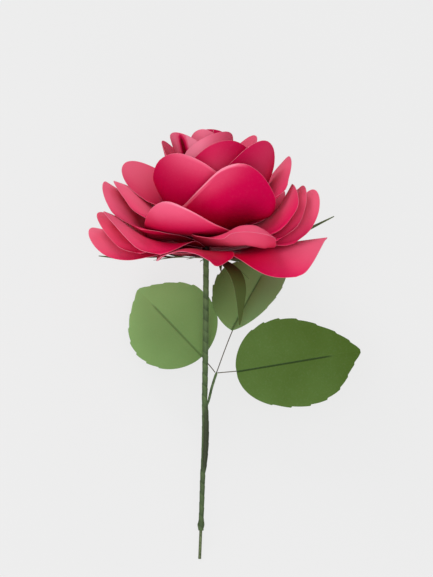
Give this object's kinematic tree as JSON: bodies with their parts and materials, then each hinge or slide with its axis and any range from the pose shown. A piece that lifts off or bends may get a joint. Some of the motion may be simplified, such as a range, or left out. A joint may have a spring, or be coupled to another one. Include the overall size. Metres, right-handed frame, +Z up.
{
  "type": "paper camellia",
  "caption": "Crimson paper camellia with a barbed calyx, a taped wire stem and a sprig of toothed leaves, lying at rest.",
  "frame": {"origin": "centre of the bounding box in plan, at the level of the surface it lies on", "axes": "+Y along the stem from its cut end toward the flower, +Z up from the surface it lies on"},
  "size_m": [0.1636, 0.2454, 0.129],
  "materials": {
    "petal_paper": "matte",
    "calyx_paper": "matte",
    "leaf_paper": "matte",
    "floral_tape": "matte",
    "stem_wire": "satin",
    "sprig_wire": "satin"
  },
  "bodies": {
    "root": {"petal_heart_1": "petal_paper", "petal_heart_2": "petal_paper", "petal_heart_3": "petal_paper", "petal_heart_4": "petal_paper", "petal_heart_5": "petal_paper", "petal_heart_6": "petal_paper", "petal_cup_1": "petal_paper", "petal_cup_2": "petal_paper", "petal_cup_3": "petal_paper", "petal_cup_4": "petal_paper", "petal_cup_5": "petal_paper", "petal_cup_6": "petal_paper", "petal_cup_7": "petal_paper", "petal_cup_8": "petal_paper", "petal_cup_9": "petal_paper", "petal_fan_1": "petal_paper", "petal_fan_2": "petal_paper", "petal_fan_3": "petal_paper", "petal_fan_4": "petal_paper", "petal_fan_5": "petal_paper", "petal_fan_6": "petal_paper", "petal_fan_7": "petal_paper", "petal_fan_8": "petal_paper", "petal_fan_9": "petal_paper", "petal_fan_10": "petal_paper", "petal_fan_11": "petal_paper", "petal_rim_1": "petal_paper", "petal_rim_2": "petal_paper", "petal_rim_3": "petal_paper", "petal_rim_4": "petal_paper", "petal_rim_5": "petal_paper", "petal_rim_6": "petal_paper", "petal_rim_7": "petal_paper", "petal_rim_8": "petal_paper", "petal_rim_9": "petal_paper", "petal_rim_10": "petal_paper", "petal_rim_11": "petal_paper", "calyx": "calyx_paper", "leaf_left": "leaf_paper", "leaf_back": "leaf_paper", "leaf_right": "leaf_paper", "stem_tape": "floral_tape", "sprig_tape": "floral_tape", "stem_wire": "stem_wire", "sprig_wire_left": "sprig_wire", "sprig_wire_back": "sprig_wire", "sprig_wire_right": "sprig_wire"}
  },
  "joints": []
}
